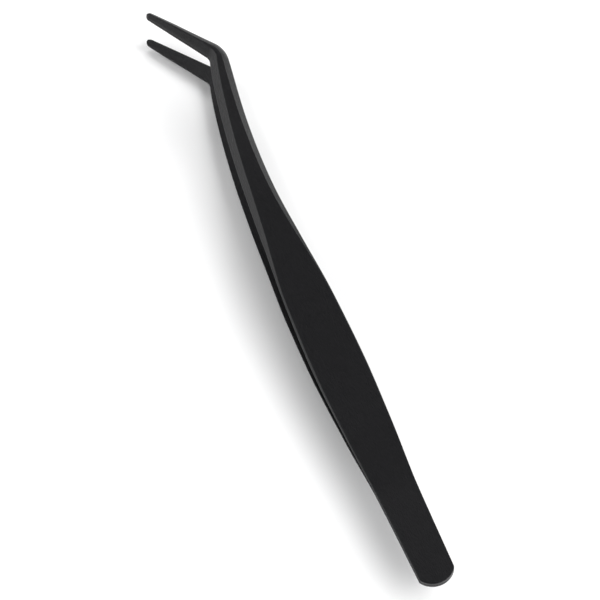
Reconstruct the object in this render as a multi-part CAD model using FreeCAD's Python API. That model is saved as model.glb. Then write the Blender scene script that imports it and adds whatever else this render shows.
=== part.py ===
import FreeCAD, Part
import math
import os

# Black angled tweezers: two mirror-image spring steel arms, spot welded face to face at the tail.
# The tool frame: X from the tail end to the tips along the handle, Y across the broad faces,
# Z the opening direction, with the mid-plane between the arms at Z = 0. All sizes are in mm.
# Places along an arm are distances along its centre line, measured from the tail end.

# Driving dimensions of the plan outline
TANG_LENGTH = 24.0              # welded tail of each arm
SPRING_LENGTH = 16.0            # stretch that flexes when the arms are squeezed
TAIL_END_RADIUS = 4.9
TAIL_CORNER_RADIUS = 1.0
TAIL_HALF_WIDTH = 4.19
GRIP_END = 72.0                 # the handle narrows from the grip to a waist
SHANK_START = 92.8              # where the straight handle ends
SHANK_RADIUS = 190.0            # the shank sweeps sideways in one long arc
SHANK_TURN = 12.25              # degrees, towards -Y
BEND_RADIUS = 4.0               # the corner before the points
BEND_TURN = 47.9                # degrees, back towards +Y
POINT_LENGTH = 16.65            # straight stretch from the bend to the tip
NOSE_LENGTH = 0.9               # rounded end of the point
NOSE_END_SHARE = 0.25           # share of the full width left at the very end of the nose

SHANK_END = SHANK_START + SHANK_RADIUS * math.radians(SHANK_TURN)
BEND_END = SHANK_END + BEND_RADIUS * math.radians(BEND_TURN)
TIP_END = BEND_END + POINT_LENGTH
SPRING_END = TANG_LENGTH + SPRING_LENGTH

# Each list gives (place along the arm, size); sizes run smoothly between the places
HALF_WIDTH = [
    (2.4, TAIL_HALF_WIDTH), (TANG_LENGTH, 4.65), (SPRING_END, 5.52), (56, 6.0), (72, 5.55),
    (88, 4.32), (102, 3.33), (118, 2.68), (131, 2.28), (137, 1.78), (147, 1.12), (TIP_END, 0.69),
]
INNER_FACE_HEIGHT = [
    (0, 0.0), (TANG_LENGTH, 0.0), (32, 0.36), (SPRING_END, 0.78), (50, 1.22), (60, 1.88),
    (70, 2.83), (80, 3.63), (90, 4.28), (102, 4.82), (118, 5.35), (134, 5.98), (TIP_END, 6.35),
]
SIDE_HEIGHT = [
    (TANG_LENGTH, 0.88), (SPRING_END, 0.84), (50, 0.8), (60, 0.78), (76, 0.84), (104, 0.8),
    (131, 0.8), (138, 0.95), (146, 0.95), (TIP_END, 0.8),
]
BEVEL_HEIGHT = [
    (TANG_LENGTH, 0.12), (SPRING_END, 0.2), (50, 0.28), (60, 0.35), (76, 0.35), (84, 0.62),
    (92, 1.2), (102, 1.7), (116, 2.0), (131, 2.05), (138, 2.0), (146, 1.62), (TIP_END, 1.0),
]
BEVEL_WIDTH = [
    (TANG_LENGTH, 0.12), (SPRING_END, 0.2), (50, 0.28), (60, 0.35), (76, 0.35), (84, 0.62),
    (92, 1.1), (102, 1.35), (116, 1.45), (131, 1.55), (138, 1.5), (146, 1.02), (TIP_END, 0.56),
]
# How far the middle of the bevels swells out: flat along the shank, round at the point
BEVEL_SWELL = [(131, 0.0), (138, 0.26), (146, 0.21), (TIP_END, 0.13)]
STRIP_THICKNESS = SIDE_HEIGHT[0][1] + BEVEL_HEIGHT[0][1]

# Spot welds between the tangs
WELD_RADIUS = 1.6
WELD_HALF_HEIGHT = 0.4
WELD_PLACES = {"rear_spot_weld": 7.5, "front_spot_weld": 16.5}

# Spacing of the cross-sections that the arms are lofted through
STRAIGHT_STEP = 4.0
BEND_STEPS = 8
POINT_STEPS = 8
NOSE_STEPS = 6


def smooth_value(stations, place):
    """The size at a place, on a smooth curve through the stations that never overshoots them."""
    if place <= stations[0][0]:
        return stations[0][1]
    if place >= stations[-1][0]:
        return stations[-1][1]
    rises = [(b[1] - a[1]) / (b[0] - a[0]) for a, b in zip(stations, stations[1:])]
    slopes = [rises[0]]
    for before, after in zip(rises, rises[1:]):
        same_way = before * after > 0
        slopes.append(2 * before * after / (before + after) if same_way else 0.0)
    slopes.append(rises[-1])
    i = max(k for k in range(len(rises)) if stations[k][0] <= place)
    (x0, y0), (x1, y1) = stations[i], stations[i + 1]
    span = x1 - x0
    t = (place - x0) / span
    return (y0 * (1 + 2 * t) * (1 - t) ** 2 + y1 * t * t * (3 - 2 * t)
            + span * (slopes[i] * t * (1 - t) ** 2 - slopes[i + 1] * t * t * (1 - t)))


def centre_line(place):
    """Plan position and heading in radians of the arm's centre line."""
    if place <= SHANK_START:
        return place, 0.0, 0.0
    turned = min((place - SHANK_START) / SHANK_RADIUS, math.radians(SHANK_TURN))
    x = SHANK_START + SHANK_RADIUS * math.sin(turned)
    y = SHANK_RADIUS * (math.cos(turned) - 1)
    if place <= SHANK_END:
        return x, y, -turned
    heading = min((place - SHANK_END) / BEND_RADIUS, math.radians(BEND_TURN)) - turned
    x += BEND_RADIUS * (math.sin(heading) + math.sin(turned))
    y += BEND_RADIUS * (math.cos(turned) - math.cos(heading))
    beyond = max(0.0, place - BEND_END)
    return x + beyond * math.cos(heading), y + beyond * math.sin(heading), heading


def nose_share(place):
    """Share of the full width that is left at a place; it falls only in the rounded nose."""
    inside = max(0.0, place - (TIP_END - NOSE_LENGTH)) / NOSE_LENGTH
    return math.sqrt(1 - (1 - NOSE_END_SHARE ** 2) * inside ** 2)


def cross_section(place):
    """Closed outline across the upper arm: flat inner face, upright sides, bevels, flat outer face."""
    x, y, heading = centre_line(place)
    share = nose_share(place)
    width = smooth_value(HALF_WIDTH, place) * share
    bevel_width = smooth_value(BEVEL_WIDTH, place) * share
    bevel_height = smooth_value(BEVEL_HEIGHT, place) * share
    swell = smooth_value(BEVEL_SWELL, place) * share / math.hypot(bevel_width, bevel_height)
    inner = smooth_value(INNER_FACE_HEIGHT, place)
    shoulder = inner + smooth_value(SIDE_HEIGHT, place)
    half = [(width, inner), (width, shoulder),
            (width - bevel_width / 2 + swell * bevel_height,
             shoulder + bevel_height / 2 + swell * bevel_width),
            (width - bevel_width, shoulder + bevel_height)]
    corners = half + [(-across, z) for across, z in reversed(half)]
    points = [FreeCAD.Vector(x - across * math.sin(heading), y + across * math.cos(heading), z)
              for across, z in corners]
    return Part.makePolygon(points + points[:1])


def loft(places, ruled=False):
    """Solid stretch of the upper arm through its cross-sections at these places."""
    return Part.makeLoft([cross_section(place) for place in places], True, ruled)


def evenly(start, end, steps):
    """Places from start to end, both included, in equal steps."""
    return [start + (end - start) * i / steps for i in range(steps + 1)]


def make_tang():
    """Flat tail of the upper arm, with its rounded end and chamfered outer edge."""
    corner_x = TAIL_END_RADIUS - math.sqrt(TAIL_END_RADIUS ** 2 - TAIL_HALF_WIDTH ** 2)
    front = smooth_value(HALF_WIDTH, TANG_LENGTH)
    tail_left = FreeCAD.Vector(corner_x, TAIL_HALF_WIDTH, 0)
    tail_right = FreeCAD.Vector(corner_x, -TAIL_HALF_WIDTH, 0)
    front_left = FreeCAD.Vector(TANG_LENGTH, front, 0)
    front_right = FreeCAD.Vector(TANG_LENGTH, -front, 0)
    outline = Part.Wire([
        Part.Arc(tail_right, FreeCAD.Vector(0, 0, 0), tail_left).toShape(),
        Part.makeLine(tail_left, front_left),
        Part.makeLine(front_left, front_right),
        Part.makeLine(front_right, tail_right),
    ])
    tang = Part.Face(outline).extrude(FreeCAD.Vector(0, 0, STRIP_THICKNESS))
    corners = [e for e in tang.Edges if e.BoundBox.ZLength > STRIP_THICKNESS / 2
               and e.BoundBox.XMax < TANG_LENGTH / 2]
    tang = tang.makeFillet(TAIL_CORNER_RADIUS, corners)
    rim = [e for e in tang.Edges if e.BoundBox.ZMin > STRIP_THICKNESS / 2
           and e.BoundBox.XMin < TANG_LENGTH / 2]
    return tang.makeChamfer(BEVEL_WIDTH[0][1], rim)


def make_stretch(start, end):
    """Stretch of the upper arm between two places, without the bend or the point."""
    return loft(evenly(start, end, round((end - start) / STRAIGHT_STEP)))


def make_point():
    """Bend and point of the upper arm, down to the rounded nose."""
    nose_start = TIP_END - NOSE_LENGTH
    bend = evenly(SHANK_END, BEND_END, BEND_STEPS)
    point = evenly(BEND_END, nose_start, POINT_STEPS)
    quarter = evenly(0, math.pi / 2, NOSE_STEPS)
    nose = [nose_start + NOSE_LENGTH * math.sin(angle) for angle in quarter]
    return loft(bend + point[1:]).fuse(loft(nose, ruled=True))


def make_weld(place):
    """Disc of fused steel, half in each tang."""
    base = FreeCAD.Vector(place, 0, -WELD_HALF_HEIGHT)
    return Part.makeCylinder(WELD_RADIUS, 2 * WELD_HALF_HEIGHT, base)


def make_nodes():
    """Every sub-part in the tool frame, by name."""
    welds = {name: make_weld(place) for name, place in WELD_PLACES.items()}
    upper = {
        "tang": make_tang().cut(list(welds.values())),
        "spring": make_stretch(TANG_LENGTH, SPRING_END),
        "grip": make_stretch(SPRING_END, GRIP_END),
        "waist": make_stretch(GRIP_END, SHANK_START),
        "shank": make_stretch(SHANK_START, SHANK_END),
        "point": make_point(),
    }
    nodes = {}
    for part_name, shape in upper.items():
        nodes["upper_" + part_name] = shape
        nodes["lower_" + part_name] = shape.mirror(FreeCAD.Vector(0, 0, 0), FreeCAD.Vector(0, 0, 1))
    nodes.update(welds)
    return nodes


def row_frame_shift(nodes):
    """Move that puts the origin at the bottom centre of the whole tool's box."""
    box = Part.makeCompound(list(nodes.values())).optimalBoundingBox(False)
    return FreeCAD.Vector(-box.Center.x, -box.Center.y, -box.ZMin)


def main():
    os.makedirs("parts", exist_ok=True)
    nodes = make_nodes()
    shift = row_frame_shift(nodes)
    print("tool frame origin in the row frame:", [round(c, 4) for c in shift])
    for name, shape in nodes.items():
        shape.translate(shift)
        solid = shape.Solids[0]
        print(f"{name}: {solid.Volume:.2f} mm3, valid {solid.isValid()}, solids {len(shape.Solids)}")
        solid.exportStep(f"parts/{name}.step")


main()
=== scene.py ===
"""Visual model of black angled tweezers: two satin-coated spring arms, spot welded at the tail."""
import math

import bmesh
import bpy
from bpy.props import FloatProperty, FloatVectorProperty, IntProperty, PointerProperty
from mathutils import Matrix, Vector


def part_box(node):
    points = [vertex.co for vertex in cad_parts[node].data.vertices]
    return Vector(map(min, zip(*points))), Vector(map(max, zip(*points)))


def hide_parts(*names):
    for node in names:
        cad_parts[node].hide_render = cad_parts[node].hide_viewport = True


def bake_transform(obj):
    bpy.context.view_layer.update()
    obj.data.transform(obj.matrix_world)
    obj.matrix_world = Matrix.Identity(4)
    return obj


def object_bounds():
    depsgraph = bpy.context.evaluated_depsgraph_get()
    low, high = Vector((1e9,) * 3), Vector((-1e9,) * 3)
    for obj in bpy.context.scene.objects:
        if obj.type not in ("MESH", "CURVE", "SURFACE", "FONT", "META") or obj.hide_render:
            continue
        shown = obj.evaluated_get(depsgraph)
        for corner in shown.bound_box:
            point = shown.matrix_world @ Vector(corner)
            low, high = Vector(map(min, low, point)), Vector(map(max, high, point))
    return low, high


bl_info = {
    "name": "Angled Tweezers",
    "version": (1, 0, 0),
    "blender": (4, 5, 0),
    "location": "3D View > Sidebar > Tweezers",
    "description": "Coated spring steel tweezers with a swept shank and a bent point",
    "category": "Add Mesh",
}

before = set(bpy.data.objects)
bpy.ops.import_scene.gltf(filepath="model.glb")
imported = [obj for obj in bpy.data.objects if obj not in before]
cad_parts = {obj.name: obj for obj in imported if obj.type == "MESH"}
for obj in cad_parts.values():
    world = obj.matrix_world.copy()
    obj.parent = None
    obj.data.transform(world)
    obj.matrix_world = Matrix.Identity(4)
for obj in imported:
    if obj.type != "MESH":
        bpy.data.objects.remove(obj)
CAD_BOX = [list(corner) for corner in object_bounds()]
MM = 0.001

# Stage
FLOOR_SIZE = 3.0
LENS = 1500.0                                   # millimetres, as the camera counts it
# Centre of the view, from the centre of the mid-plane
AIM_OFFSET = Vector((0.46 * MM, 1.25 * MM, -0.15 * MM))
WORLD_COLOUR = (0.95, 0.97, 1.0, 1.0)
WORLD_STRENGTH = 0.08
# Soft lights: azimuth and elevation in degrees, distance and size in metres, power in watts
LIGHTS = {
    "key_light": (72, 22, 0.9, (1.2, 0.6), 7.4),
    "far_light": (-14, 42, 1.0, (0.9, 0.3), 4.4),
    "side_light": (-135, 45, 1.1, (1.2, 0.9), 15.0),
}

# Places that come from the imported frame. Along the arms they are measured from the tail end.
TANG_LOW, TANG_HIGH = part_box("upper_tang")
SPRING_LOW, SPRING_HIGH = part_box("upper_spring")
TAIL_X = TANG_LOW.x
CENTRE_Y = (TANG_LOW.y + TANG_HIGH.y) / 2
MID_PLANE = TANG_LOW.z
STRIP_THICKNESS = TANG_HIGH.z - TANG_LOW.z
SPRING_START = SPRING_LOW.x - TAIL_X
SPRING_END = SPRING_HIGH.x - TAIL_X
TAIL_ORIGIN = Vector((TAIL_X, CENTRE_Y, MID_PLANE))
ARM_STRETCHES = ("tang", "spring", "grip", "waist", "shank", "point")
WELD_NODES = [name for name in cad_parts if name.endswith("spot_weld")]

# Plan of an arm, in metres
SHANK_START = 92.8 * MM
POINT_LENGTH = 16.65 * MM

# Steps round the rounded ends, the weld pockets and the softened edges
CORNER_STEPS = 6
TAIL_STEPS = 32
NOSE_STEPS = 6
POCKET_STEPS = 64
EDGE_STEPS = 3

SOFT_EDGE_ANGLE = math.radians(33)              # edges sharper than this are softened
SECTION_ANGLES = (-67.5, -22.5, 22.5, 67.5)     # right-hand corners of a regular octagon
CLOSE = 1e-6                                    # places nearer than this are the same
FACE_AREA_WEIGHT = 100                          # lets the broad faces decide the shading

# Each list gives (place along the arm, size) in millimetres; sizes run smoothly between the places
HALF_WIDTH = [
    (2.66, 4.19), (24, 4.65), (40, 5.52), (56, 6.0), (72, 5.55), (88, 4.32),
    (102, 3.33), (118, 2.68), (131, 2.28), (137, 1.78), (147, 1.12), (153.42, 0.69),
]
INNER_FACE_HEIGHT = [
    (0, 0.0), (24, 0.0), (32, 0.36), (40, 0.78), (50, 1.22), (60, 1.88),
    (70, 2.83), (80, 3.63), (90, 4.28), (102, 4.82), (118, 5.35), (134, 5.98), (153.42, 6.35),
]
SIDE_HEIGHT = [
    (24, 0.88), (40, 0.84), (50, 0.8), (60, 0.78), (76, 0.84), (104, 0.8),
    (131, 0.8), (138, 0.95), (146, 0.95), (153.42, 0.8),
]
BEVEL_HEIGHT = [
    (24, 0.12), (40, 0.2), (50, 0.28), (60, 0.35), (76, 0.35), (84, 0.62), (92, 1.2), (102, 1.7),
    (116, 2.0), (131, 2.05), (138, 2.0), (146, 1.62), (153.42, 1.0),
]
BEVEL_WIDTH = [
    (24, 0.12), (40, 0.2), (50, 0.28), (60, 0.35), (76, 0.35), (84, 0.62), (92, 1.1), (102, 1.35),
    (116, 1.45), (131, 1.55), (138, 1.5), (146, 1.02), (153.42, 0.56),
]
# How far the middle of the bevels swells out: flat along the shank, round at the point
BEVEL_SWELL = [(131, 0.0), (138, 0.26), (146, 0.21), (153.42, 0.13)]

# The rounded end of the point, and the share of the full width left at its very end
TIP_END = HALF_WIDTH[-1][0] * MM
NOSE_LENGTH = 0.9 * MM
NOSE_END_SHARE = 0.25

# Surfaces: how metallic and how shiny they are, and the fineness and strength of their grain
SATIN_COAT = {"metallic": 0.0, "specular": 0.29, "grain_size": 3500.0, "bump": 1.0}
DULL_COAT = {"metallic": 0.0, "specular": 0.2, "grain_size": 3000.0, "bump": 0.6}
WELD_STEEL = {"metallic": 1.0, "specular": 0.5, "grain_size": 2500.0, "bump": 0.6}
DULL_COAT_ROUGHER_BY = 0.2
WELD_ROUGHNESS = 0.35
ROUGHNESS_SPREAD = 0.06                         # either side of a surface's own roughness
DARK_COAT_SHARE = 0.4                           # of the full colour, where the coating is darkest
DARK_WELD_SHARE = 0.6
BUMP_DISTANCE = 0.1 * MM
GRAIN_STRETCH = 0.3                             # below 1, the grain is drawn out along the arm
CLOUD_SCALE = 2200.0


# ---------------------------------------------------------------- settings


class TweezersArmSettings(bpy.types.PropertyGroup):
    tail_end_radius: FloatProperty(
        name="Tail End Radius", description="Radius of the rounded tail end",
        default=4.9 * MM, min=4.3 * MM, max=12 * MM, unit="LENGTH")
    tail_corner_radius: FloatProperty(
        name="Tail Corner Radius", description="Rounding where the tail end meets the sides",
        default=1.0 * MM, min=0.2 * MM, max=3 * MM, unit="LENGTH")
    shank_radius: FloatProperty(
        name="Shank Radius", description="Radius of the sideways sweep of the shank",
        default=190 * MM, min=50 * MM, max=1.0, unit="LENGTH")
    shank_turn: FloatProperty(
        name="Shank Turn", description="How far the shank sweeps to the right",
        default=math.radians(12.25), min=0.0, max=math.radians(30), subtype="ANGLE")
    bend_radius: FloatProperty(
        name="Bend Radius", description="Radius of the corner before the point",
        default=4 * MM, min=2.6 * MM, max=20 * MM, unit="LENGTH")
    bend_turn: FloatProperty(
        name="Bend Turn", description="How far the point turns back to the left",
        default=math.radians(47.9), min=0.0, max=math.radians(80), subtype="ANGLE")
    row_spacing: FloatProperty(
        name="Row Spacing", description="Distance between the rows of faces along the arm",
        default=1.6 * MM, min=0.5 * MM, max=4 * MM, unit="LENGTH")
    bend_rows: IntProperty(
        name="Bend Rows", description="Rows of faces round the corner before the point",
        default=14, min=6, max=40)
    edge_radius: FloatProperty(
        name="Edge Radius", description="Size of the softened edges",
        default=0.05 * MM, min=0.02 * MM, max=0.3 * MM, unit="LENGTH")


class TweezersFinishSettings(bpy.types.PropertyGroup):
    coat_colour: FloatVectorProperty(
        name="Coat Colour", description="Black of the satin coating",
        default=(0.0012, 0.0011, 0.0024), min=0.0, max=1.0, subtype="COLOR", size=3)
    edge_colour: FloatVectorProperty(
        name="Edge Colour", description="Coating on the side walls and the softened edges",
        default=(0.0024, 0.0024, 0.0032), min=0.0, max=1.0, subtype="COLOR", size=3)
    coat_roughness: FloatProperty(
        name="Coat Roughness", description="Roughness of the satin coating",
        default=0.39, min=0.05, max=1.0, subtype="FACTOR")
    weld_colour: FloatVectorProperty(
        name="Weld Colour", description="Colour of the bare fused steel",
        default=(0.36, 0.35, 0.33), min=0.0, max=1.0, subtype="COLOR", size=3)


class TweezersStageSettings(bpy.types.PropertyGroup):
    floor_colour: FloatVectorProperty(
        name="Floor Colour", description="Pale matt floor",
        default=(0.96, 0.96, 0.96), min=0.0, max=1.0, subtype="COLOR", size=3)
    view_width: FloatProperty(
        name="View Width", description="Width of the view at the tweezers",
        default=132.7 * MM, min=0.05, max=1.0, unit="LENGTH")
    view_elevation: FloatProperty(
        name="View Elevation", description="Height of the camera above the horizon",
        default=math.radians(65.36), min=0.0, max=math.radians(89), subtype="ANGLE")
    view_heading: FloatProperty(
        name="View Heading", description="Turn of the view away from the handle's direction",
        default=math.radians(23.42), min=-math.pi, max=math.pi, subtype="ANGLE")


# ---------------------------------------------------------------- shape of an arm


def smooth_size(stations, place):
    """The size in metres at a place in metres, on a smooth curve that never overshoots."""
    where = place / MM
    if where <= stations[0][0]:
        return stations[0][1] * MM
    if where >= stations[-1][0]:
        return stations[-1][1] * MM
    rises = [(b[1] - a[1]) / (b[0] - a[0]) for a, b in zip(stations, stations[1:])]
    slopes = [rises[0]]
    for before, after in zip(rises, rises[1:]):
        same_way = before * after > 0
        slopes.append(2 * before * after / (before + after) if same_way else 0.0)
    slopes.append(rises[-1])
    i = max(k for k in range(len(rises)) if stations[k][0] <= where)
    (x0, y0), (x1, y1) = stations[i], stations[i + 1]
    span = x1 - x0
    t = (where - x0) / span
    size = (y0 * (1 + 2 * t) * (1 - t) ** 2 + y1 * t * t * (3 - 2 * t)
            + span * (slopes[i] * t * (1 - t) ** 2 - slopes[i + 1] * t * t * (1 - t)))
    return size * MM


def nose_share(place):
    """Share of the full width that is left at a place; it falls only in the rounded nose."""
    inside = max(0.0, place - (TIP_END - NOSE_LENGTH)) / NOSE_LENGTH
    return math.sqrt(max(NOSE_END_SHARE ** 2, 1 - (1 - NOSE_END_SHARE ** 2) * inside ** 2))


def section_levels(place):
    """(half width, height above the mid-plane) of the base, shoulder, mid-bevel and crown."""
    share = nose_share(place)
    width = smooth_size(HALF_WIDTH, place) * share
    bevel_width = smooth_size(BEVEL_WIDTH, place) * share
    bevel_height = smooth_size(BEVEL_HEIGHT, place) * share
    swell = smooth_size(BEVEL_SWELL, place) * share / math.hypot(bevel_width, bevel_height)
    base = smooth_size(INNER_FACE_HEIGHT, place)
    shoulder = base + smooth_size(SIDE_HEIGHT, place)
    middle = (width - bevel_width / 2 + swell * bevel_height,
              shoulder + bevel_height / 2 + swell * bevel_width)
    crown = (width - bevel_width, shoulder + bevel_height)
    return [(width, base), (width, shoulder), middle, crown]


def evenly(start, end, steps):
    """Places after start up to end, in equal steps."""
    return [start + (end - start) * i / steps for i in range(1, steps + 1)]


# ---------------------------------------------------------------- modelling tools


def deselect_all():
    """Clears the selection, which the loaded frame leaves full."""
    for obj in bpy.context.selected_objects:
        obj.select_set(False)


def make_active(obj):
    deselect_all()
    obj.select_set(True)
    bpy.context.view_layer.objects.active = obj


def select(obj, kind, wanted):
    """In edit mode, selects just the verts or faces that the test accepts."""
    bpy.ops.mesh.select_mode(type={"verts": "VERT", "faces": "FACE"}[kind])
    bpy.ops.mesh.select_all(action="DESELECT")
    mesh = bmesh.from_edit_mesh(obj.data)
    for element in getattr(mesh, kind):
        element.select = bool(wanted(element))
    mesh.select_flush_mode()
    bmesh.update_edit_mesh(obj.data)


def apply_modifiers(obj):
    make_active(obj)
    for modifier in list(obj.modifiers):
        bpy.ops.object.modifier_apply(modifier=modifier.name)


def turn_about_z(angle, pivot):
    """Turns the selection anticlockwise, seen from above."""
    # With no window open, the operator counts the angle the other way
    bpy.ops.transform.rotate(value=-angle, orient_axis="Z", center_override=pivot)


# ---------------------------------------------------------------- building an arm


def reshape_end(obj, end_x, before, after):
    """Moves the four pairs of corners of the section at end_x from their old sizes to new ones."""
    select(obj, "verts", lambda v: abs(v.co.x - end_x) < CLOSE)
    mesh = bmesh.from_edit_mesh(obj.data)
    corners = sorted((v for v in mesh.verts if v.select), key=lambda v: v.co.z)
    pair_indices = [{v.index for v in corners[i:i + 2]} for i in range(0, len(corners), 2)]
    for indices, (old_width, old_height), (width, height) in zip(pair_indices, before, after):
        select(obj, "verts", lambda v: v.index in indices)
        bpy.ops.transform.resize(value=(1, width / old_width, 1))
        bpy.ops.transform.translate(value=(0, 0, height - old_height))


def add_first_section(place):
    """The arm's outline across the strip at this place, as one upright face."""
    deselect_all()
    sizes = section_levels(place)
    radius = sizes[0][0]
    angles = [math.radians(angle) for angle in SECTION_ANGLES]
    bpy.ops.mesh.primitive_circle_add(
        vertices=2 * len(sizes), radius=radius, fill_type="NGON",
        location=TAIL_ORIGIN + Vector((place, 0, 0)),
        rotation=(math.pi / 2, math.pi / 8, math.pi / 2))
    obj = bpy.context.object
    bpy.ops.object.transform_apply(location=True, rotation=True, scale=True)
    bpy.ops.object.mode_set(mode="EDIT")
    octagon = [(radius * math.cos(angle), radius * math.sin(angle)) for angle in angles]
    reshape_end(obj, TAIL_X + place, octagon, sizes)
    return obj


def spin_rim(steps, angle, centre_place, centre_across):
    """Sweeps the selected rim anticlockwise, seen from above, round an upright axis."""
    centre = TAIL_ORIGIN + Vector((centre_place, centre_across, 0))
    bpy.ops.mesh.spin(steps=steps, angle=-angle, center=centre, axis=(0, 0, 1))


def close_tail(obj, settings, place, half_width):
    """Sweeps the rim round the rounded tail end and fills the two flat faces."""
    end_radius = settings.tail_end_radius
    corner_across = half_width - settings.tail_corner_radius
    corner_turn = math.atan2(end_radius - place, corner_across)
    select(obj, "verts", lambda v: v.co.y > CENTRE_Y)
    spin_rim(CORNER_STEPS, corner_turn, place, corner_across)
    spin_rim(TAIL_STEPS, math.pi - 2 * corner_turn, end_radius, 0.0)
    spin_rim(CORNER_STEPS, corner_turn, place, -corner_across)
    bpy.ops.mesh.select_all(action="SELECT")
    bpy.ops.mesh.remove_doubles(threshold=CLOSE)
    for level in (MID_PLANE, MID_PLANE + STRIP_THICKNESS):
        select(obj, "verts", lambda v: abs(v.co.z - level) < CLOSE)
        bpy.ops.mesh.edge_face_add()
    bpy.ops.mesh.select_all(action="SELECT")
    bpy.ops.mesh.normals_make_consistent(inside=False)


def extend_strip(obj, places):
    """Draws the strip out from its first section through the sections at the other places."""
    for last, place in zip(places, places[1:]):
        select(obj, "faces", lambda f: all(abs(v.co.x - TAIL_X - last) < CLOSE for v in f.verts))
        bpy.ops.mesh.extrude_region_move(TRANSFORM_OT_translate={"value": (place - last, 0, 0)})
        reshape_end(obj, TAIL_X + place, section_levels(last), section_levels(place))


def bend_sideways(obj, places, turn):
    """Bends the straight strip evenly between these places, starting from the tip's side."""
    step_turn = turn / (len(places) - 1)
    for before, after in reversed(list(zip(places, places[1:]))):
        hinge_x = TAIL_X + (before + after) / 2
        select(obj, "verts", lambda v: v.co.x > hinge_x)
        turn_about_z(step_turn, (hinge_x, CENTRE_Y, 0))


def finish_side_walls(obj):
    """Gives the upright side walls of the straight strip the duller edge finish."""
    select(obj, "faces", lambda f: abs(f.normal.y) > 0.9 and abs(f.normal.z) < 0.1)
    obj.active_material_index = 1
    bpy.ops.object.material_slot_assign()


def soften_edges(obj, radius):
    """Rounds every edge of the strip, with the edge finish on the new faces."""
    bevel = obj.modifiers.new("soft_edges", "BEVEL")
    bevel.width = radius
    bevel.segments = EDGE_STEPS
    bevel.limit_method = "ANGLE"
    bevel.angle_limit = SOFT_EDGE_ANGLE
    bevel.material = 1
    apply_modifiers(obj)


def sink_weld_pockets(obj):
    """Cuts the round pockets that the weld discs fill, as deep as the discs reach."""
    for weld in WELD_NODES:
        low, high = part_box(weld)
        deselect_all()
        bpy.ops.mesh.primitive_cylinder_add(
            vertices=POCKET_STEPS, radius=(high.x - low.x) / 2, depth=high.z - low.z,
            location=(low + high) / 2)
        cutter = bpy.context.object
        pocket = obj.modifiers.new("pocket", "BOOLEAN")
        pocket.object = cutter
        pocket.solver = "EXACT"
        apply_modifiers(obj)
        bpy.data.objects.remove(cutter)


def smooth_shading(obj):
    """Smooth shading that keeps the broad faces flat up to their softened edges."""
    make_active(obj)
    bpy.ops.object.shade_smooth()
    weights = obj.modifiers.new("face_weights", "WEIGHTED_NORMAL")
    weights.weight = FACE_AREA_WEIGHT
    apply_modifiers(obj)


def mount_arm(obj, side):
    """Puts the arm in the place of its solids, which it hides."""
    obj.name = f"{side}_tweezer_arm"
    obj.data.name = obj.name
    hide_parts(*(f"{side}_{stretch}" for stretch in ARM_STRETCHES))
    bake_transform(obj)


def build_upper_arm(settings, materials):
    """The upper arm as one strip, drawn out straight from the tail and then bent sideways."""
    half_width = HALF_WIDTH[0][1] * MM
    corner_radius = settings.tail_corner_radius
    reach = settings.tail_end_radius - corner_radius
    first = settings.tail_end_radius - math.sqrt(reach ** 2 - (half_width - corner_radius) ** 2)
    shank_end = SHANK_START + settings.shank_radius * settings.shank_turn
    bend_end = shank_end + settings.bend_radius * settings.bend_turn
    tip = bend_end + POINT_LENGTH
    stops = [first, SPRING_START, SPRING_END, SHANK_START, shank_end]
    places = [first]
    for start, end in zip(stops, stops[1:]):
        places += evenly(start, end, round((end - start) / settings.row_spacing))
    shank_places = [p for p in places if p > SHANK_START - CLOSE]
    bend_places = [shank_end] + evenly(shank_end, bend_end, settings.bend_rows)
    nose_start = tip - NOSE_LENGTH
    point_places = evenly(bend_end, nose_start, round(POINT_LENGTH / settings.row_spacing))
    point_places += [nose_start + NOSE_LENGTH * math.sin(angle)
                     for angle in evenly(0, math.pi / 2, NOSE_STEPS)]
    obj = add_first_section(first)
    close_tail(obj, settings, first, half_width)
    extend_strip(obj, places + bend_places[1:] + point_places)
    for material in materials:
        obj.data.materials.append(material)
    finish_side_walls(obj)
    bend_sideways(obj, bend_places, settings.bend_turn)
    bend_sideways(obj, shank_places, -settings.shank_turn)
    bpy.ops.object.mode_set(mode="OBJECT")
    return obj


def mirrored_copy(obj):
    """The same arm on the other side of the mid-plane, with its own mesh."""
    make_active(obj)
    bpy.ops.object.duplicate()
    copy = bpy.context.object
    bpy.ops.object.mode_set(mode="EDIT")
    bpy.ops.mesh.select_all(action="SELECT")
    bpy.ops.transform.resize(value=(1, 1, -1), center_override=(0, 0, MID_PLANE))
    bpy.ops.mesh.normals_make_consistent(inside=False)
    bpy.ops.object.mode_set(mode="OBJECT")
    return copy


# ---------------------------------------------------------------- finishes


def new_group(name, inputs, outputs):
    """An empty shader node group with these sockets, and its two ends."""
    group = bpy.data.node_groups.new(name, "ShaderNodeTree")
    for socket, kind, default in inputs:
        made = group.interface.new_socket(socket, in_out="INPUT", socket_type=kind)
        if default is not None:
            made.default_value = default
    for socket, kind in outputs:
        group.interface.new_socket(socket, in_out="OUTPUT", socket_type=kind)
    return group, group.nodes.new("NodeGroupInput"), group.nodes.new("NodeGroupOutput")


def add_node(tree, kind, **settings):
    """A node with its properties set, and its input sockets where a setting names one."""
    node = tree.nodes.new(kind)
    for name, value in settings.items():
        socket = name.replace("_", " ").title()
        if hasattr(node, name):
            setattr(node, name, value)
        else:
            node.inputs[socket].default_value = value
    return node


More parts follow.
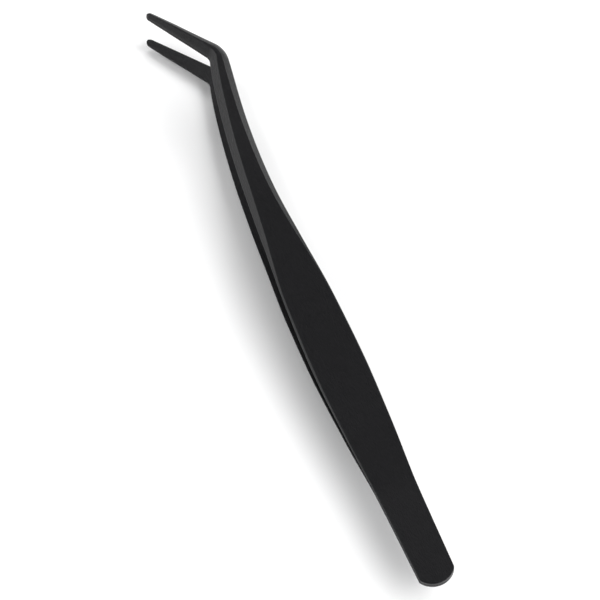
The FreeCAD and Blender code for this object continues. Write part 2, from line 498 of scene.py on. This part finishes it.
def make_grain_group():
    """Fine grain drawn out along the arm, and clouds that vary the colour and the roughness."""
    group, start, end = new_group(
        "drawn_grain",
        [("Vector", "NodeSocketVector", None),
         ("Size", "NodeSocketFloat", SATIN_COAT["grain_size"]),
         ("Stretch", "NodeSocketFloat", GRAIN_STRETCH)],
        [("Height", "NodeSocketFloat"), ("Clouds", "NodeSocketFloat")])
    stretch = group.nodes.new("ShaderNodeCombineXYZ")
    stretch.inputs["Y"].default_value = 1.0
    stretch.inputs["Z"].default_value = 1.0
    drawn = add_node(group, "ShaderNodeVectorMath", operation="MULTIPLY")
    fine = add_node(group, "ShaderNodeTexNoise", detail=3.0, roughness=0.6)
    clouds = add_node(group, "ShaderNodeTexNoise", scale=CLOUD_SCALE, detail=4.0, roughness=0.75)
    link = group.links.new
    link(start.outputs["Stretch"], stretch.inputs["X"])
    link(start.outputs["Vector"], drawn.inputs[0])
    link(stretch.outputs[0], drawn.inputs[1])
    link(drawn.outputs[0], fine.inputs["Vector"])
    link(start.outputs["Size"], fine.inputs["Scale"])
    link(start.outputs["Vector"], clouds.inputs["Vector"])
    link(fine.outputs["Fac"], end.inputs["Height"])
    link(clouds.outputs["Fac"], end.inputs["Clouds"])
    return group


def make_metal_material(name, dark, light, roughness, metallic, specular, grain_size, bump):
    """Metal or coated metal whose colour and roughness drift with the grain's clouds."""
    material = bpy.data.materials.new(name)
    material.use_nodes = True
    material.diffuse_color = (*light, 1.0)
    tree = material.node_tree
    link = tree.links.new
    shader = tree.nodes["Principled BSDF"]
    shader.inputs["Metallic"].default_value = metallic
    shader.inputs["Specular IOR Level"].default_value = specular
    place = tree.nodes.new("ShaderNodeTexCoord")
    grains = tree.nodes.new("ShaderNodeGroup")
    grains.node_tree = bpy.data.node_groups.get("drawn_grain") or make_grain_group()
    grains.inputs["Size"].default_value = grain_size
    colour = add_node(tree, "ShaderNodeMix", data_type="RGBA")
    colour.inputs["A"].default_value = (*dark, 1.0)
    colour.inputs["B"].default_value = (*light, 1.0)
    rough = add_node(tree, "ShaderNodeMapRange")
    rough.inputs["From Min"].default_value = 0.3
    rough.inputs["From Max"].default_value = 0.7
    rough.inputs["To Min"].default_value = roughness - ROUGHNESS_SPREAD
    rough.inputs["To Max"].default_value = roughness + ROUGHNESS_SPREAD
    relief = add_node(tree, "ShaderNodeBump", strength=bump, distance=BUMP_DISTANCE)
    link(place.outputs["Object"], grains.inputs["Vector"])
    link(grains.outputs["Clouds"], colour.inputs["Factor"])
    link(grains.outputs["Clouds"], rough.inputs["Value"])
    link(grains.outputs["Height"], relief.inputs["Height"])
    link(colour.outputs["Result"], shader.inputs["Base Color"])
    link(rough.outputs["Result"], shader.inputs["Roughness"])
    link(relief.outputs["Normal"], shader.inputs["Normal"])
    return material


def make_coat_materials(settings):
    """The satin black coating, and the duller coating of the side walls and softened edges."""
    colour = tuple(settings.coat_colour)
    edge = tuple(settings.edge_colour)
    darker = tuple(DARK_COAT_SHARE * part for part in colour)
    roughness = settings.coat_roughness
    return [
        make_metal_material("satin_black_coating", darker, colour, roughness, **SATIN_COAT),
        make_metal_material("dull_edge_coating", darker, edge,
                            roughness + DULL_COAT_ROUGHER_BY, **DULL_COAT),
    ]


def make_weld_material(settings):
    """Bare fused steel."""
    colour = tuple(settings.weld_colour)
    darker = tuple(DARK_WELD_SHARE * part for part in colour)
    return make_metal_material("fused_weld_steel", darker, colour, WELD_ROUGHNESS, **WELD_STEEL)


def make_floor_material(settings):
    """Matt pale floor with a faint unevenness in its shine."""
    material = bpy.data.materials.new("pale_floor")
    material.use_nodes = True
    tree = material.node_tree
    shader = tree.nodes["Principled BSDF"]
    shader.inputs["Base Color"].default_value = (*settings.floor_colour, 1.0)
    place = tree.nodes.new("ShaderNodeTexCoord")
    noise = add_node(tree, "ShaderNodeTexNoise", scale=30.0, detail=2.0)
    rough = add_node(tree, "ShaderNodeMapRange")
    rough.inputs["To Min"].default_value = 0.8
    rough.inputs["To Max"].default_value = 0.9
    tree.links.new(place.outputs["Object"], noise.inputs["Vector"])
    tree.links.new(noise.outputs["Fac"], rough.inputs["Value"])
    tree.links.new(rough.outputs["Result"], shader.inputs["Roughness"])
    return material


# ---------------------------------------------------------------- stage


def add_soft_light(name, aim, azimuth, elevation, distance, size, watts):
    """A soft box that points at the tweezers. Azimuth is anticlockwise from +X, in degrees."""
    light = bpy.data.lights.new(name, "AREA")
    light.shape = "RECTANGLE"
    light.size, light.size_y = size
    light.energy = watts
    obj = bpy.data.objects.new(name, light)
    bpy.context.scene.collection.objects.link(obj)
    a, e = math.radians(azimuth), math.radians(elevation)
    away = Vector((math.cos(a) * math.cos(e), math.sin(a) * math.cos(e), math.sin(e)))
    obj.location = aim + distance * away
    obj.rotation_euler = (-away).to_track_quat("-Z", "Y").to_euler()
    obj.visible_camera = False


def add_camera(settings, aim):
    """A long lens, far away, that looks down on the tweezers from behind the tail."""
    heading, elevation = settings.view_heading, settings.view_elevation
    ahead = Vector((math.cos(heading) * math.cos(elevation),
                    -math.sin(heading) * math.cos(elevation), -math.sin(elevation)))
    data = bpy.data.cameras.new("studio_camera")
    data.lens = LENS
    data.clip_end = 50.0
    distance = LENS * settings.view_width / data.sensor_width
    camera = bpy.data.objects.new("studio_camera", data)
    bpy.context.scene.collection.objects.link(camera)
    camera.location = aim - ahead * distance
    camera.rotation_euler = ahead.to_track_quat("-Z", "Y").to_euler()
    bpy.context.scene.camera = camera


# ---------------------------------------------------------------- operators and panel


class TWEEZERS_OT_arms(bpy.types.Operator):
    """Build both arms, each one strip from the rounded tail to the tip"""
    bl_idname = "tweezers.arms"
    bl_label = "Arms"
    bl_options = {"REGISTER", "UNDO"}

    def execute(self, context):
        settings = context.scene.tweezers_arm
        upper = build_upper_arm(settings, make_coat_materials(context.scene.tweezers_finish))
        soften_edges(upper, settings.edge_radius)
        sink_weld_pockets(upper)
        lower = mirrored_copy(upper)
        for arm, side in ((upper, "upper"), (lower, "lower")):
            smooth_shading(arm)
            mount_arm(arm, side)
        return {"FINISHED"}


class TWEEZERS_OT_welds(bpy.types.Operator):
    """Give the spot welds between the tangs their bare steel finish"""
    bl_idname = "tweezers.welds"
    bl_label = "Spot Welds"
    bl_options = {"REGISTER", "UNDO"}

    def execute(self, context):
        material = make_weld_material(context.scene.tweezers_finish)
        for name in WELD_NODES:
            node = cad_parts[name]
            node.data.materials.clear()
            node.data.materials.append(material)
        return {"FINISHED"}


class TWEEZERS_OT_stage(bpy.types.Operator):
    """Lay the pale floor and set the soft lights and the camera"""
    bl_idname = "tweezers.stage"
    bl_label = "Stage"
    bl_options = {"REGISTER", "UNDO"}

    def execute(self, context):
        settings = context.scene.tweezers_stage
        deselect_all()
        bpy.ops.mesh.primitive_plane_add(size=FLOOR_SIZE, location=(0, 0, CAD_BOX[0][2]))
        floor = context.object
        floor.name = "floor"
        floor.data.materials.append(make_floor_material(settings))
        world = bpy.data.worlds.new("studio_world")
        world.use_nodes = True
        background = world.node_tree.nodes["Background"]
        background.inputs["Color"].default_value = WORLD_COLOUR
        background.inputs["Strength"].default_value = WORLD_STRENGTH
        context.scene.world = world
        context.scene.view_settings.view_transform = "Standard"
        aim = Vector((0.0, 0.0, MID_PLANE))
        for name, light in LIGHTS.items():
            add_soft_light(name, aim, *light)
        add_camera(settings, aim + AIM_OFFSET)
        return {"FINISHED"}


class TWEEZERS_PT_panel(bpy.types.Panel):
    bl_idname = "TWEEZERS_PT_panel"
    bl_label = "Angled Tweezers"
    bl_space_type = "VIEW_3D"
    bl_region_type = "UI"
    bl_category = "Tweezers"

    def draw(self, context):
        for settings, operator in (
                (context.scene.tweezers_arm, TWEEZERS_OT_arms),
                (context.scene.tweezers_finish, TWEEZERS_OT_welds),
                (context.scene.tweezers_stage, TWEEZERS_OT_stage)):
            box = self.layout.box()
            for name in settings.__annotations__:
                box.prop(settings, name)
            box.operator(operator.bl_idname)


CLASSES = (
    TweezersArmSettings, TweezersFinishSettings, TweezersStageSettings,
    TWEEZERS_OT_arms, TWEEZERS_OT_welds, TWEEZERS_OT_stage, TWEEZERS_PT_panel,
)


def register():
    for cls in CLASSES:
        bpy.utils.register_class(cls)
    bpy.types.Scene.tweezers_arm = PointerProperty(type=TweezersArmSettings)
    bpy.types.Scene.tweezers_finish = PointerProperty(type=TweezersFinishSettings)
    bpy.types.Scene.tweezers_stage = PointerProperty(type=TweezersStageSettings)


def unregister():
    del bpy.types.Scene.tweezers_stage
    del bpy.types.Scene.tweezers_finish
    del bpy.types.Scene.tweezers_arm
    for cls in reversed(CLASSES):
        bpy.utils.unregister_class(cls)


def main():
    register()
    bpy.ops.tweezers.arms()
    bpy.ops.tweezers.welds()
    bpy.ops.tweezers.stage()


if __name__ == "__main__":
    main()
